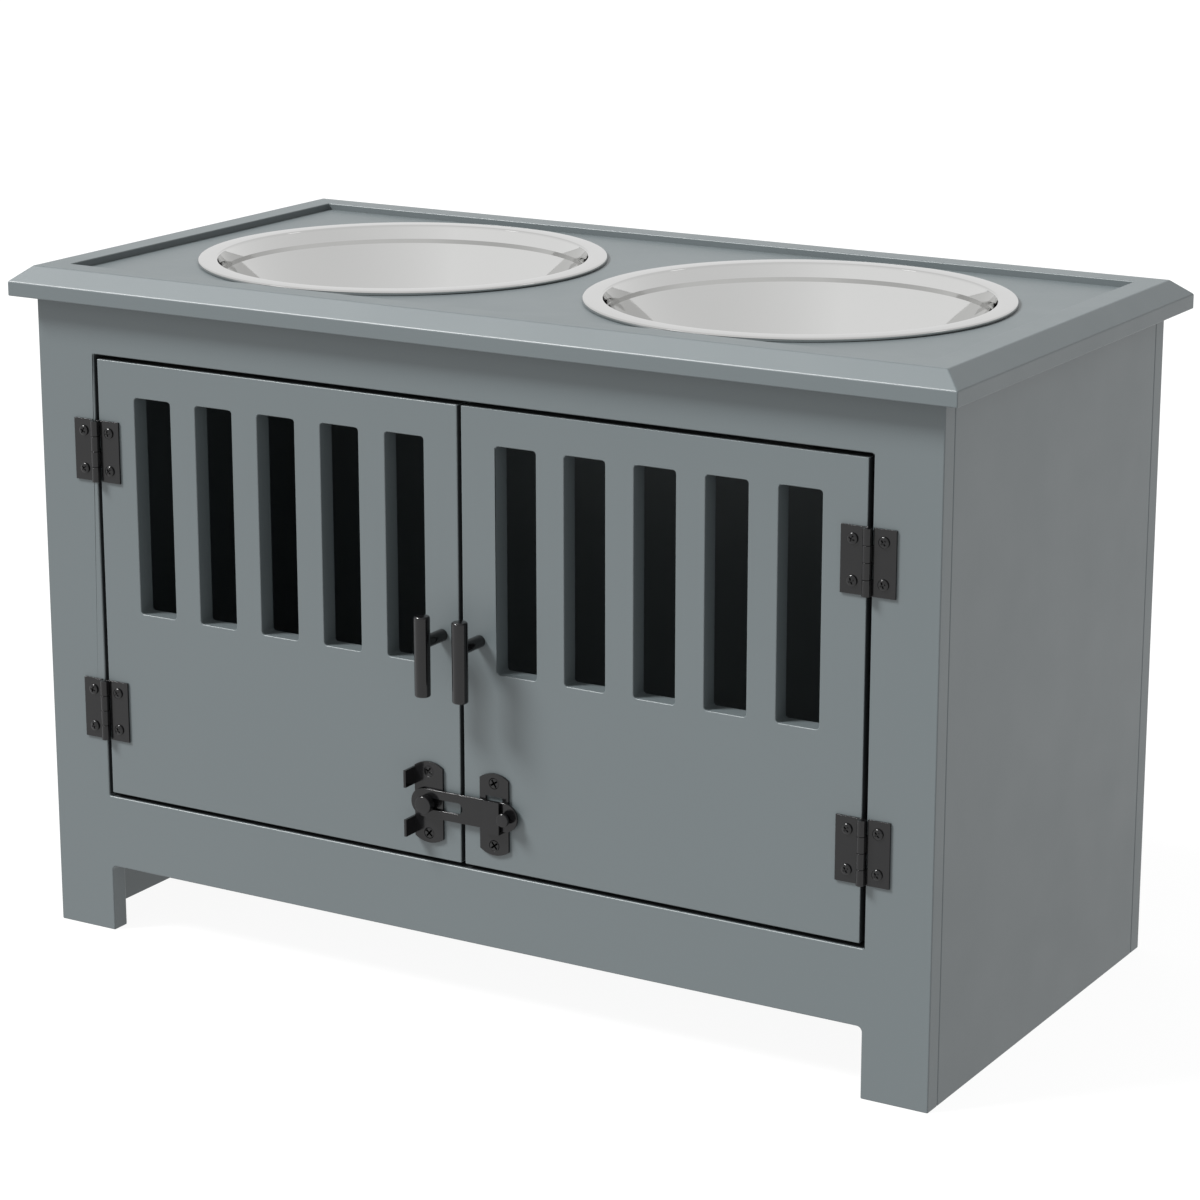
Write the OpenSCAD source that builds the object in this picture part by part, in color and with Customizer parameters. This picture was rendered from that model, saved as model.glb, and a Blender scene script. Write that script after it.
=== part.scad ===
// Elevated dog feeder with a storage cabinet: a painted board cabinet, two slatted doors
// with a flip latch, and two steel bowls let into a tray top.
// Millimetres, +Z up, front towards -Y. The origin is on the floor, under the centre of the
// whole feeder's outer box.

/* [Cabinet] */
// Width across the two side panels' outer faces
body_w = 590; // [480:5:760]
// Depth from the front board's face to the back board's face
body_d = 292; // [280:2:360]
// Height from the floor to the underside of the top
body_h = 390; // [330:5:520]
// Thickness of every cabinet board
board_t = 12; // [10:1:18]

/* [Feet and opening] */
// Width of the front board at each side of the opening
stile_w = 40.3; // [37:0.1:85]
// Height of the front board above the opening
head_h = 31.6; // [27.6:0.2:63.6]
// Height of the opening's lower edge above the floor
opening_z = 86.4; // [74:0.2:92]
// Height of the gap between the feet
foot_h = 41.5; // [30:0.5:46]
// Width of each foot
foot_w = 40.6; // [30:0.2:60]
// Radius in the corners over the gap between the feet
foot_r = 3; // [1:0.5:8]
// Height of the batten under each end of the cabinet floor
cleat_h = 20; // [16:1:24]
// Width of every batten
cleat_w = 20; // [16:1:24]
// How far each batten stays clear of the front and back boards
cleat_inset = 14; // [6:1:40]

/* [Top] */
// Overhang of the top past each side panel
over_side = 12; // [6:0.5:24]
// Overhang of the top past the front board
over_front = 12; // [6:0.5:18]
// Overhang of the top past the back board
over_rear = 14; // [6:0.5:24]
// Width of the moulding round the top
rail_w = 26.5; // [25:0.5:34]
// Height of the moulding
rail_h = 17.5; // [14:0.5:24]
// Height of the moulding's upright outer band
rail_band = 8.6; // [5:0.2:11]
// How far the moulding's bevel runs in from its outer edge
rail_bevel = 11; // [6:0.5:14]
// Depth of the tray inside the moulding
tray_depth = 4; // [2:0.5:6]

/* [Bowls] */
// Outer radius of a bowl's rim
rim_r = 122.5; // [105:0.5:122.5]
// Width of the flat rim
rim_flat = 11.5; // [8:0.5:16]
// Height of the rim's turned-down edge
rim_h = 2.2; // [1.6:0.1:4]
// Thickness of the bowl's sheet
sheet_t = 0.8; // [0.6:0.1:1.2]
// Depth from the rim to the upright band in the wall
step_z = 8.4; // [6:0.2:20]
// Height of that band
band_h = 2.7; // [1.5:0.1:5]
// How far the wall leans in between the mouth and the band
wall_flare = 2.1; // [1:0.1:4]
// How far the band leans in
step_in = 0.3; // [0:0.1:4]
// Depth of a bowl under its rim
bowl_depth = 68; // [50:1:90]
// Radius of the bowl's flat base
base_r = 80; // [60:1:90]
// Distance of each bowl's centre from the middle of the top
bowl_x = 134; // [130:0.5:142]
// Clearance round a bowl in its hole
bowl_clear = 1.5; // [0.5:0.5:2.5]
// Clearance under a bowl's rim
rim_clear = 0.3; // [0.2:0.1:0.5]

/* [Doors] */
// Gap round each door and between the two
reveal = 2.6; // [2:0.2:4]
// Number of slots in each door
slots = 5; // [3:1:5]
// Width of a slot
slot_w = 26; // [16:1:30]
// Height of a slot
slot_h = 130.7; // [80:0.5:136]
// From a door's free edge to its first slot
slot_start = 22.4; // [21:0.2:23.6]
// From its last slot to its hinged edge
slot_end = 26.4; // [16:0.2:58.4]
// From a door's top edge to the top of its slots
slot_top = 20.5; // [12:0.5:30]
// Radius in the slots' corners
slot_r = 2; // [1:0.5:5]
// Height of the strip that the doors close against
stop_h = 18; // [14:1:20]
// Length of that strip
stop_w = 300; // [120:5:400]
// How far it reaches down behind the doors
stop_lap = 4; // [3:0.5:6]

/* [Hinges] */
// Height of a hinge
hinge_h = 37; // [32:1:44]
// Width of one leaf, from the pin's centre
leaf_w = 16.2; // [14:0.2:20]
// Thickness of a leaf
leaf_t = 1.2; // [0.8:0.1:1.6]
// Outer diameter of the barrel
barrel_d = 5; // [4.4:0.2:6]
// Number of knuckles in the barrel
knuckles = 4; // [4:2:6]
// Diameter of the hinge pin
pin_d = 2.4; // [1.6:0.2:2.8]
// From the door's top edge to the middle of the upper hinge
hinge_top = 55; // [40:1:70]
// From the door's bottom edge to the middle of the lower hinge
hinge_bottom = 52.5; // [40:0.5:70]
// From the pin's centre to a row of screws
hinge_screw_x = 9.15; // [8:0.05:11]
// Distance between the two screws of a leaf
hinge_screw_z = 22.8; // [18:0.2:26]
// Running clearance of the pin, on the radius
pin_fit = 0.05; // [0.02:0.01:0.1]
// Gap between the knuckles
knuckle_gap = 0.3; // [0.2:0.05:0.5]

/* [Screws] */
// Head diameter of the hinge screws
pan_d = 6.2; // [5:0.1:6.6]
// Head height of the hinge screws
pan_h = 1.5; // [1:0.1:1.6]
// Shank diameter of the hinge and latch screws
shank_d = 2.8; // [2:0.1:3.2]
// Length of those screws under the head
shank_l = 9.5; // [7:0.5:9.5]
// Head diameter of the batten screws
csk_d = 7; // [6:0.2:8]
// Shank diameter of the batten screws
long_d = 3.5; // [3:0.1:4]
// Depth of those screws in the board behind the batten
long_bite = 7.5; // [6:0.5:8]
// Clearance round a screw or dowel in its hole, on the radius
hole_fit = 0.05; // [0.02:0.01:0.1]

/* [Dowels] */
// Diameter of a dowel
dowel_d = 6; // [5:0.5:8]
// Depth of a dowel in the front or back board
dowel_face = 8; // [6:0.5:8.5]
// Depth of a dowel in the side panel's edge
dowel_edge = 16; // [12:1:24]
// Number of dowels in each corner
dowels = 3; // [2:1:5]
// Height of the lowest dowel above the floor
dowel_low = 60; // [20:1:90]
// From the top of the board to the highest dowel
dowel_high = 50; // [30:1:90]

/* [Handles] */
// Diameter of a handle's bar
grip_d = 9.2; // [7:0.2:10]
// Length of a handle's bar
grip_l = 46.8; // [40:0.2:60]
// From the door's face to the middle of the bar
grip_y = 20.5; // [16:0.5:26]
// Height of the post above the door's lower edge
post_z = 133.6; // [124:0.2:150]
// From the top of the bar to the post
post_drop = 16; // [12:0.2:22]
// Diameter of the post
post_d = 7.2; // [5:0.2:8]
// From the door's free edge to the post
post_x = 11.2; // [8:0.2:12.4]
// Depth of the post in the bar
post_seat = 3; // [2:0.5:4]
// Thread diameter of the handle's screw
stud_d = 3.2; // [2.6:0.1:3.6]
// Depth of that screw in the post
stud_in = 7; // [5:0.5:9]
// Head diameter of that screw
stud_head_d = 7.4; // [6:0.2:9]
// Head height of that screw
stud_head_h = 2.2; // [1.8:0.1:3]

/* [Latch] */
// Height of the latch's middle above the door's lower edge
latch_z = 33.4; // [30:0.2:42]
// From the middle of the feeder to the middle of each plate
plate_x = 22; // [21:0.1:23]
// Width of a plate
plate_w = 19; // [17:0.5:20]
// Height of a plate
plate_h = 48.4; // [46:0.2:54]
// Radius of a plate's ends
plate_r = 16; // [12:0.5:24]
// Thickness of the latch's sheet
plate_t = 1.5; // [1.2:0.1:1.8]
// Distance between the two screws of a plate
plate_screw_z = 37; // [34:0.5:40]
// Head diameter of a plate's screws
plate_head_d = 6.6; // [5:0.1:7.2]
// From the latch's middle to the near edge of an ear
ear_gap = 9.6; // [9.1:0.1:10]
// Height of an ear
ear_h = 10.2; // [6:0.2:10.4]
// How far the ears stand out from the door's face
ear_out = 10.8; // [8:0.1:16]
// Height of the bar
bar_h = 17; // [14:0.5:17]
// Length of the bar behind the pivot
bar_tail = 10.9; // [9.6:0.1:12]
// Length of the bar in front of the pivot
bar_reach = 60.2; // [58.8:0.1:62]
// Height of the slot in the bar
bar_slot_h = 6.6; // [5:0.1:7]
// Length of the slot in the bar
bar_slot_l = 27; // [20:0.5:30]
// Gap between the bar and the plates
bar_gap = 0.3; // [0.2:0.05:0.4]
// Diameter of the pivot's shank
pivot_d = 4.8; // [4:0.1:5.4]
// Diameter of the pivot's knob
pivot_knob_d = 10.4; // [7.4:0.2:12]
// How far both knobs stand out from the door's face
knob_out = 8.5; // [7:0.1:12]
// Diameter of the knob on the bar, which laps over the hook
bar_knob_d = 7.8; // [4:0.1:8.4]
// Diameter of that knob's neck, beside the hook
bar_neck_d = 4.8; // [4:0.1:5.6]
// Gap between the hook and that knob
knob_gap = 0.4; // [0.3:0.1:0.8]
// From the pivot to the knob on the bar
bar_knob_x = 53.3; // [52.8:0.1:54]
// Width of the hook
hook_w = 11.2; // [8:0.1:11.2]
// Gap between the hook and the bar's front face
hook_gap = 0.9; // [0.4:0.1:1.2]
// Gap under the bar in the hook
hook_under = 0.3; // [0.2:0.05:0.4]
// How far the hook's front stands above the bar
hook_over = 0.5; // [0:0.1:0.6]
// Height of the window above the bar that the hook is cut from
hook_window = 2.4; // [2:0.1:6]

/* [Hidden] */

eps = 0.5;
cut = 1;

// the front face stands where the outer box, from the handles to the top's back edge, is centred
grip_out = grip_y + grip_d / 2;
face_y = -(body_d + over_rear - max(grip_out, over_front)) / 2;

top_w = body_w + 2 * over_side;
top_d = body_d + over_front + over_rear;
top_mid_y = (body_d + over_rear - over_front) / 2;
panel_t = rail_h - tray_depth;
panel_z = body_h + panel_t;
tray_w = top_w - 2 * rail_w;
tray_d = top_d - 2 * rail_w;

opening_w = body_w - 2 * stile_w;
opening_h = body_h - opening_z - head_h;

inner_x = body_w / 2 - board_t;
inner_back = body_d - board_t;
floor_z = opening_z - board_t;
cleat_l = body_d - 2 * board_t - 2 * cleat_inset;

mouth_r = rim_r - rim_flat;
bowl_z = panel_z + rim_clear + rim_h;
hole_r = mouth_r + sheet_t + bowl_clear;

door_w = (opening_w - 3 * reveal) / 2;
door_h = opening_h - 2 * reveal;
door_z = opening_z + reveal;
slot_z = door_z + door_h - slot_top - slot_h;
slot_pitch = (door_w - slot_start - slot_end - slot_w) / max(slots - 1, 1);

axis_x = opening_w / 2 - reveal / 2;
axis_y = barrel_d / 2 + 0.2;
hinge_zs = [door_z + hinge_bottom, door_z + door_h - hinge_top];
knuckle_h = hinge_h / knuckles;
leaf_clear = 0.45;

grip_x = reveal / 2 + post_x;
grip_z = door_z + post_z;

lock_z = door_z + latch_z;
bar_y = -plate_t - bar_gap;
bar_front = bar_y - plate_t;
hook_back = bar_front - hook_gap;
hook_front = hook_back - plate_t;
hook_low = lock_z - bar_h / 2 - hook_under;
knob_back = hook_front - knob_gap;

paint = [0.49, 0.52, 0.53];
black = [0.16, 0.16, 0.17];
steel = [0.8, 0.81, 0.82];
wood = [0.78, 0.66, 0.48];

module placed() {
    translate([0, face_y, 0]) children();
}

// a flat outline drawn in X and Z, from its front face at y back through its thickness
module board(y, t) {
    translate([0, y + t, 0]) rotate([90, 0, 0]) linear_extrude(t) children();
}

module from_front(x, y, z) {
    translate([x, y, z]) rotate([-90, 0, 0]) children();
}

module pan_screw() {
    intersection() {
        translate([0, 0, -pan_h]) cylinder(d = pan_d, h = pan_h, $fn = 48);
        translate([0, 0, pan_d * 0.62]) sphere(r = pan_d * 0.62 + pan_h, $fn = 64);
    }
    translate([0, 0, -0.2]) cylinder(d = shank_d, h = shank_l + 0.2, $fn = 32);
}

module flat_screw(head, shank, l) {
    cone = (head - shank) / 2;
    cylinder(d1 = head, d2 = shank, h = cone, $fn = 40);
    cylinder(d = shank, h = l, $fn = 32);
}

module flat_hole(head, shank, l) {
    cone = (head - shank) / 2;
    translate([0, 0, -cut]) cylinder(d = head + 2 * hole_fit, h = cut + 0.01, $fn = 40);
    cylinder(d1 = head + 2 * hole_fit, d2 = shank + 2 * hole_fit, h = cone, $fn = 40);
    cylinder(d = shank + 2 * hole_fit, h = l + 0.2, $fn = 32);
}

module pilot_hole(d, l) {
    translate([0, 0, -cut]) cylinder(d = d + 2 * hole_fit, h = l + 0.2 + cut, $fn = 32);
}

// --- cabinet boards ---

module foot_gap() {
    gap_w = body_w - 2 * foot_w;
    translate([-gap_w / 2, -cut]) square([gap_w, foot_h - foot_r + cut]);
    translate([-gap_w / 2 + foot_r, -cut]) square([gap_w - 2 * foot_r, foot_h + cut]);
    for (s = [-1, 1]) translate([s * (gap_w / 2 - foot_r), foot_h - foot_r]) circle(foot_r, $fn = 48);
}

dowel_span = body_h - dowel_low - dowel_high;
dowel_zs = [for (i = [0:dowels - 1]) dowel_low + i * dowel_span / (dowels - 1)];

module dowel_sites() {
    for (s = [-1, 1], z = dowel_zs) translate([s * (body_w - board_t) / 2, 0, z]) children();
}

module dowels_front(fit) {
    dowel_sites() from_front(0, board_t - dowel_face - fit, 0)
        cylinder(d = dowel_d + 2 * fit, h = dowel_face + dowel_edge + 2 * fit, $fn = 40);
}

module dowels_back(fit) {
    dowel_sites() from_front(0, inner_back - dowel_edge - fit, 0)
        cylinder(d = dowel_d + 2 * fit, h = dowel_face + dowel_edge + 2 * fit, $fn = 40);
}

module corner_dowels() {
    color(wood) placed() {
        dowels_front(0);
        dowels_back(0);
    }
}

module front_frame() {
    color(paint) placed() difference() {
        board(0, board_t) difference() {
            translate([-body_w / 2, 0]) square([body_w, body_h]);
            translate([-opening_w / 2, opening_z]) square([opening_w, opening_h]);
            foot_gap();
        }
        dowels_front(hole_fit);
        hinge_screw_sites(1) pilot_hole(shank_d, shank_l - leaf_t);
    }
}

module back_panel() {
    color(paint) placed() difference() {
        board(inner_back, board_t) difference() {
            translate([-body_w / 2, 0]) square([body_w, body_h]);
            foot_gap();
        }
        dowels_back(hole_fit);
    }
}

module side_panel(side) {
    color(paint) placed() difference() {
        translate([side > 0 ? inner_x : -body_w / 2, board_t, 0])
            cube([board_t, body_d - 2 * board_t, body_h]);
        dowels_front(hole_fit);
        dowels_back(hole_fit);
        cleat_side_screws(floor_z - cleat_h / 2) pilot_hole(long_d, cleat_w + long_bite);
        cleat_side_screws(body_h - cleat_h / 2) pilot_hole(long_d, cleat_w + long_bite);
    }
}

module side_panel_left() { side_panel(-1); }
module side_panel_right() { side_panel(1); }

module cabinet_floor() {
    color(paint) placed() difference() {
        translate([-inner_x, board_t, floor_z]) cube([2 * inner_x, body_d - 2 * board_t, board_t]);
        cleat_up_screws(floor_z - cleat_h) pilot_hole(long_d, cleat_h + long_bite);
    }
}

// --- battens and their screws ---

cleat_y = board_t + cleat_inset;
side_screw_ys = [cleat_y + cleat_l * 0.12, cleat_y + cleat_l * 0.88];
up_screw_ys = [cleat_y + cleat_l * 0.3, cleat_y + cleat_l * 0.7];

module cleat_side_screws(z) {
    for (s = [-1, 1], y = side_screw_ys)
        translate([s * (inner_x - cleat_w), y, z]) rotate([0, s * 90, 0]) children();
}

module cleat_up_screws(z) {
    for (s = [-1, 1], y = up_screw_ys) translate([s * (inner_x - cleat_w / 2), y, z]) children();
}

module cleat(side, z) {
    color(wood) placed() difference() {
        translate([side > 0 ? inner_x - cleat_w : -inner_x, cleat_y, z]) cube([cleat_w, cleat_l, cleat_h]);
        cleat_side_screws(z + cleat_h / 2) flat_hole(csk_d, long_d, cleat_w + long_bite);
        cleat_up_screws(z) flat_hole(csk_d, long_d, cleat_h + long_bite);
    }
}

module floor_cleat_left() { cleat(-1, floor_z - cleat_h); }
module floor_cleat_right() { cleat(1, floor_z - cleat_h); }
module top_cleat_left() { cleat(-1, body_h - cleat_h); }
module top_cleat_right() { cleat(1, body_h - cleat_h); }

module floor_cleat_screws() {
    color(steel) placed() {
        cleat_side_screws(floor_z - cleat_h / 2) flat_screw(csk_d, long_d, cleat_w + long_bite);
        cleat_up_screws(floor_z - cleat_h) flat_screw(csk_d, long_d, cleat_h + long_bite);
    }
}

module top_cleat_screws() {
    color(steel) placed() {
        cleat_side_screws(body_h - cleat_h / 2) flat_screw(csk_d, long_d, cleat_w + long_bite);
        cleat_up_screws(body_h - cleat_h) flat_screw(csk_d, long_d, cleat_h + long_bite);
    }
}

module door_stop_strip() {
    color(paint) placed()
        translate([-stop_w / 2, board_t, door_z + door_h - stop_lap]) cube([stop_w, board_t, stop_h]);
}

// --- top ---

module top_panel() {
    color(paint) placed() difference() {
        translate([-tray_w / 2, top_mid_y - tray_d / 2, body_h]) cube([tray_w, tray_d, panel_t]);
        for (s = [-1, 1]) translate([s * bowl_x, top_mid_y, body_h - cut])
            cylinder(r = hole_r, h = panel_t + 2 * cut, $fn = 180);
        cleat_up_screws(body_h - cleat_h) pilot_hole(long_d, cleat_h + long_bite);
    }
}

// a length of moulding along X, its outer edge towards -Y at y = 0, mitred at both ends
module rail(l) {
    difference() {
        rotate([90, 0, 90]) translate([0, 0, -l / 2]) linear_extrude(l) polygon([
            [0, 0], [rail_w, 0], [rail_w, rail_h], [rail_bevel, rail_h], [0, rail_band]]);
        for (s = [-1, 1]) translate([s * l / 2, 0, -cut]) rotate(s * 45)
            translate([s > 0 ? 0 : -2 * rail_w, -rail_w, 0]) cube([2 * rail_w, 4 * rail_w, rail_h + 2 * cut]);
    }
}

module rail_at(turn) {
    half = abs(sin(turn)) > 0.5 ? top_w / 2 : top_d / 2;
    l = abs(sin(turn)) > 0.5 ? top_d : top_w;
    color(paint) placed() translate([0, top_mid_y, body_h]) rotate(turn) translate([0, -half, 0]) rail(l);
}

module top_rail_front() { rail_at(0); }
module top_rail_right() { rail_at(90); }
module top_rail_rear() { rail_at(180); }
module top_rail_left() { rail_at(270); }

// --- bowls ---

// the sheet's inner face from the middle of the base to the mouth, depth below the rim
base_turn = 16;
upper_r = mouth_r - wall_flare;
wall_r = upper_r - step_in;
function inner_face() = concat(
    [[0, -bowl_depth + sheet_t]],
    [for (a = [0:15:75]) [base_r + base_turn * sin(a), -bowl_depth + sheet_t + base_turn * (1 - cos(a))]],
    [[wall_r, -step_z - band_h], [upper_r, -step_z]],
    [[mouth_r, -1.2], [mouth_r + 0.35, -0.35], [mouth_r + 1.2, 0]]);
function outer_face() = concat(
    [[mouth_r + 1.6, -sheet_t], [mouth_r + sheet_t, -1.6], [upper_r + sheet_t, -step_z - 0.1]],
    [[wall_r + sheet_t, -step_z - band_h - 0.1]],
    [for (a = [75:-15:0]) [base_r + (base_turn + sheet_t) * sin(a),
        -bowl_depth + sheet_t + base_turn - (base_turn + sheet_t) * cos(a)]],
    [[0, -bowl_depth]]);

module bowl(side) {
    color(steel) placed() translate([side * bowl_x, top_mid_y, bowl_z])
        rotate_extrude($fn = 144) polygon(concat(inner_face(), [
            [rim_r - 0.9, 0], [rim_r - 0.2, -0.4], [rim_r, -1], [rim_r, -rim_h],
            [rim_r - sheet_t, -rim_h], [rim_r - sheet_t, -sheet_t]], outer_face()));
}

module bowl_left() { bowl(-1); }
module bowl_right() { bowl(1); }

// --- doors ---

module slot_outline() {
    translate([0, slot_r]) square([slot_w, slot_h - 2 * slot_r]);
    translate([slot_r, 0]) square([slot_w - 2 * slot_r, slot_h]);
    for (x = [slot_r, slot_w - slot_r], z = [slot_r, slot_h - slot_r]) translate([x, z]) circle(slot_r, $fn = 32);
}

module door(side) {
    color(paint) placed() difference() {
        mirror([side > 0 ? 0 : 1, 0, 0]) board(0, board_t) difference() {
            translate([reveal / 2, door_z]) square([door_w, door_h]);
            for (i = [0:slots - 1])
                translate([reveal / 2 + slot_start + i * slot_pitch, slot_z]) slot_outline();
        }
        hinge_screw_sites(-1) pilot_hole(shank_d, shank_l - leaf_t);
        plate_screw_sites() flat_hole(plate_head_d, shank_d, shank_l);
        handle_site(side) translate([0, 0, -cut]) cylinder(d = stud_d + 0.4, h = board_t + 2 * cut, $fn = 32);
    }
}

module door_left() { door(-1); }
module door_right() { door(1); }

// --- hinges ---

// out is 1 for the leaf on the cabinet and -1 for the leaf on the door
module hinge_screw_sites(out) {
    for (s = [-1, 1], z = hinge_zs, k = [-1, 1])
        from_front(s * (axis_x + out * hinge_screw_x), 0, z + k * hinge_screw_z / 2) children();
}

module leaf(first) {
    difference() {
        union() {
            translate([0, -leaf_t, -hinge_h / 2]) cube([leaf_w, leaf_t, hinge_h]);
            for (i = [first:2:knuckles - 1])
                translate([0, -axis_y, i * knuckle_h - hinge_h / 2 + knuckle_gap / 2])
                    cylinder(d = barrel_d, h = knuckle_h - knuckle_gap, $fn = 48);
        }
        for (i = [1 - first:2:knuckles - 1])
            translate([-barrel_d, -2 * axis_y, i * knuckle_h - hinge_h / 2 - knuckle_gap / 2])
                cube([1.5 * barrel_d + leaf_clear, 3 * axis_y, knuckle_h + knuckle_gap]);
        translate([0, -axis_y, -hinge_h]) cylinder(d = pin_d + 2 * pin_fit, h = 2 * hinge_h, $fn = 32);
        for (k = [-1, 1]) from_front(hinge_screw_x, -leaf_t - cut, k * hinge_screw_z / 2)
            cylinder(d = shank_d + 0.3, h = leaf_t + 2 * cut, $fn = 32);
    }
}

module hinge_leaf(side, upper, out) {
    color(black) placed() translate([side * axis_x, 0, hinge_zs[upper]])
        mirror([side * out > 0 ? 0 : 1, 0, 0]) leaf(out > 0 ? 0 : 1);
}

module hinge_pin(side, upper) {
    color(black) placed() translate([side * axis_x, -axis_y, hinge_zs[upper] - hinge_h / 2])
        cylinder(d = pin_d, h = hinge_h, $fn = 32);
}

module hinge_frame_leaf_left_upper() { hinge_leaf(-1, 1, 1); }
module hinge_frame_leaf_left_lower() { hinge_leaf(-1, 0, 1); }
module hinge_frame_leaf_right_upper() { hinge_leaf(1, 1, 1); }
module hinge_frame_leaf_right_lower() { hinge_leaf(1, 0, 1); }
module hinge_door_leaf_left_upper() { hinge_leaf(-1, 1, -1); }
module hinge_door_leaf_left_lower() { hinge_leaf(-1, 0, -1); }
module hinge_door_leaf_right_upper() { hinge_leaf(1, 1, -1); }
module hinge_door_leaf_right_lower() { hinge_leaf(1, 0, -1); }
module hinge_pin_left_upper() { hinge_pin(-1, 1); }
module hinge_pin_left_lower() { hinge_pin(-1, 0); }
module hinge_pin_right_upper() { hinge_pin(1, 1); }
module hinge_pin_right_lower() { hinge_pin(1, 0); }

module hinge_frame_screws() {
    color(black) placed() hinge_screw_sites(1) translate([0, 0, -leaf_t]) pan_screw();
}

module door_hinge_screws(side) {
    color(black) placed() for (z = hinge_zs, k = [-1, 1])
        from_front(side * (axis_x - hinge_screw_x), -leaf_t, z + k * hinge_screw_z / 2) pan_screw();
}

module hinge_door_screws_left() { door_hinge_screws(-1); }
module hinge_door_screws_right() { door_hinge_screws(1); }

// --- handles ---

module handle_site(side) {
    from_front(side * grip_x, 0, grip_z) children();
}

module handle_bar(side) {
    color(black) placed() difference() {
        translate([side * grip_x, -grip_y, grip_z + post_drop - grip_l]) {
            cylinder(d1 = grip_d - 1, d2 = grip_d, h = 0.5, $fn = 64);
            translate([0, 0, 0.5]) cylinder(d = grip_d, h = grip_l - 1, $fn = 64);
            translate([0, 0, grip_l - 0.5]) cylinder(d1 = grip_d, d2 = grip_d - 1, h = 0.5, $fn = 64);
        }
        handle_site(side) translate([0, 0, -grip_out + grip_d - post_seat])
            cylinder(d = post_d + 2 * hole_fit, h = grip_d, $fn = 48);
    }
}

module handle_post(side) {
    reach = grip_out - grip_d + post_seat - hole_fit;
    color(black) placed() difference() {
        handle_site(side) translate([0, 0, -reach]) cylinder(d = post_d, h = reach, $fn = 48);
        handle_site(side) translate([0, 0, -stud_in - 0.2])
            cylinder(d = stud_d + 2 * hole_fit, h = stud_in + cut, $fn = 32);
    }
}

module handle_screw(side) {
    color(steel) placed() handle_site(side) {
        translate([0, 0, -stud_in]) cylinder(d = stud_d, h = stud_in + board_t + 0.2, $fn = 32);
        translate([0, 0, board_t]) cylinder(d = stud_head_d, h = stud_head_h - 0.6, $fn = 48);
        translate([0, 0, board_t + stud_head_h - 0.6])
            cylinder(d1 = stud_head_d, d2 = stud_head_d - 1.6, h = 0.6, $fn = 48);
    }
}

module handle_bar_left() { handle_bar(-1); }
module handle_bar_right() { handle_bar(1); }
module handle_post_left() { handle_post(-1); }
module handle_post_right() { handle_post(1); }
module handle_screw_left() { handle_screw(-1); }
module handle_screw_right() { handle_screw(1); }

// --- latch ---

module plate_screw_sites() {
    for (s = [-1, 1], k = [-1, 1])
        from_front(s * plate_x, -plate_t, lock_z + k * plate_screw_z / 2) children();
}

module plate_outline() {
    intersection() {
        square([plate_w, plate_h], center = true);
        for (k = [-1, 1]) translate([0, k * (plate_h / 2 - plate_r)]) circle(plate_r, $fn = 96);
    }
}

module plate(side) {
    translate([side * plate_x, 0, lock_z]) difference() {
        board(-plate_t, plate_t) plate_outline();
        for (k = [-1, 1]) from_front(0, -plate_t, k * plate_screw_z / 2)
            flat_hole(plate_head_d, shank_d, shank_l);
    }
}

module latch_base_plate() {
    color(black) placed() difference() {
        union() {
            plate(-1);
            for (k = [-1, 1]) translate([-plate_x - plate_w / 2 - plate_t + 0.01, -ear_out,
                lock_z + (k > 0 ? ear_gap : -ear_gap - ear_h)]) cube([plate_t, ear_out, ear_h]);
            for (k = [-1, 1]) translate([-plate_x - plate_w / 2 - 0.2, -plate_t,
                lock_z + (k > 0 ? ear_gap : -ear_gap - ear_h)]) cube([0.8, plate_t, ear_h]);
        }
        from_front(-plate_x, -plate_t - cut, lock_z)
            cylinder(d = pivot_d - 1 + 2 * hole_fit, h = plate_t + 2 * cut, $fn = 40);
    }
}

module latch_pivot_pin() {
    color(black) placed() from_front(-plate_x, 0, lock_z) {
        translate([0, 0, -plate_t]) cylinder(d = pivot_d - 1, h = plate_t, $fn = 40);
        translate([0, 0, bar_front - bar_gap]) cylinder(d = pivot_d, h = -plate_t - bar_front + bar_gap, $fn = 48);
        translate([0, 0, -knob_out + 0.5])
            cylinder(d = pivot_knob_d, h = knob_out - 0.5 + bar_front - bar_gap, $fn = 64);
        translate([0, 0, -knob_out]) cylinder(d1 = pivot_knob_d - 1, d2 = pivot_knob_d, h = 0.5, $fn = 64);
    }
}

module latch_bar() {
    r = bar_h / 2;
    color(black) placed() translate([-plate_x, 0, lock_z]) board(bar_front, plate_t) difference() {
        union() {
            translate([r - bar_tail, -r]) square([bar_tail + bar_reach - 2 * r, bar_h]);
            for (x = [r - bar_tail, bar_reach - r]) translate([x, 0]) circle(r, $fn = 96);
        }
        for (x = [0, bar_slot_l - bar_slot_h]) translate([x, 0]) circle(d = bar_slot_h, $fn = 48);
        translate([0, -bar_slot_h / 2]) square([bar_slot_l - bar_slot_h, bar_slot_h]);
        translate([bar_knob_x, 0]) circle(d = bar_neck_d - 1.4 + 2 * hole_fit, $fn = 40);
    }
}

module latch_bar_knob() {
    color(black) placed() from_front(bar_knob_x - plate_x, 0, lock_z) {
        translate([0, 0, bar_front]) cylinder(d = bar_neck_d - 1.4, h = plate_t, $fn = 40);
        translate([0, 0, knob_back]) cylinder(d = bar_neck_d, h = bar_front - knob_back, $fn = 48);
        translate([0, 0, -knob_out + 0.5]) cylinder(d = bar_knob_d, h = knob_out - 0.5 + knob_back, $fn = 64);
        translate([0, 0, -knob_out]) cylinder(d1 = bar_knob_d - 1, d2 = bar_knob_d, h = 0.5, $fn = 64);
    }
}

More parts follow.
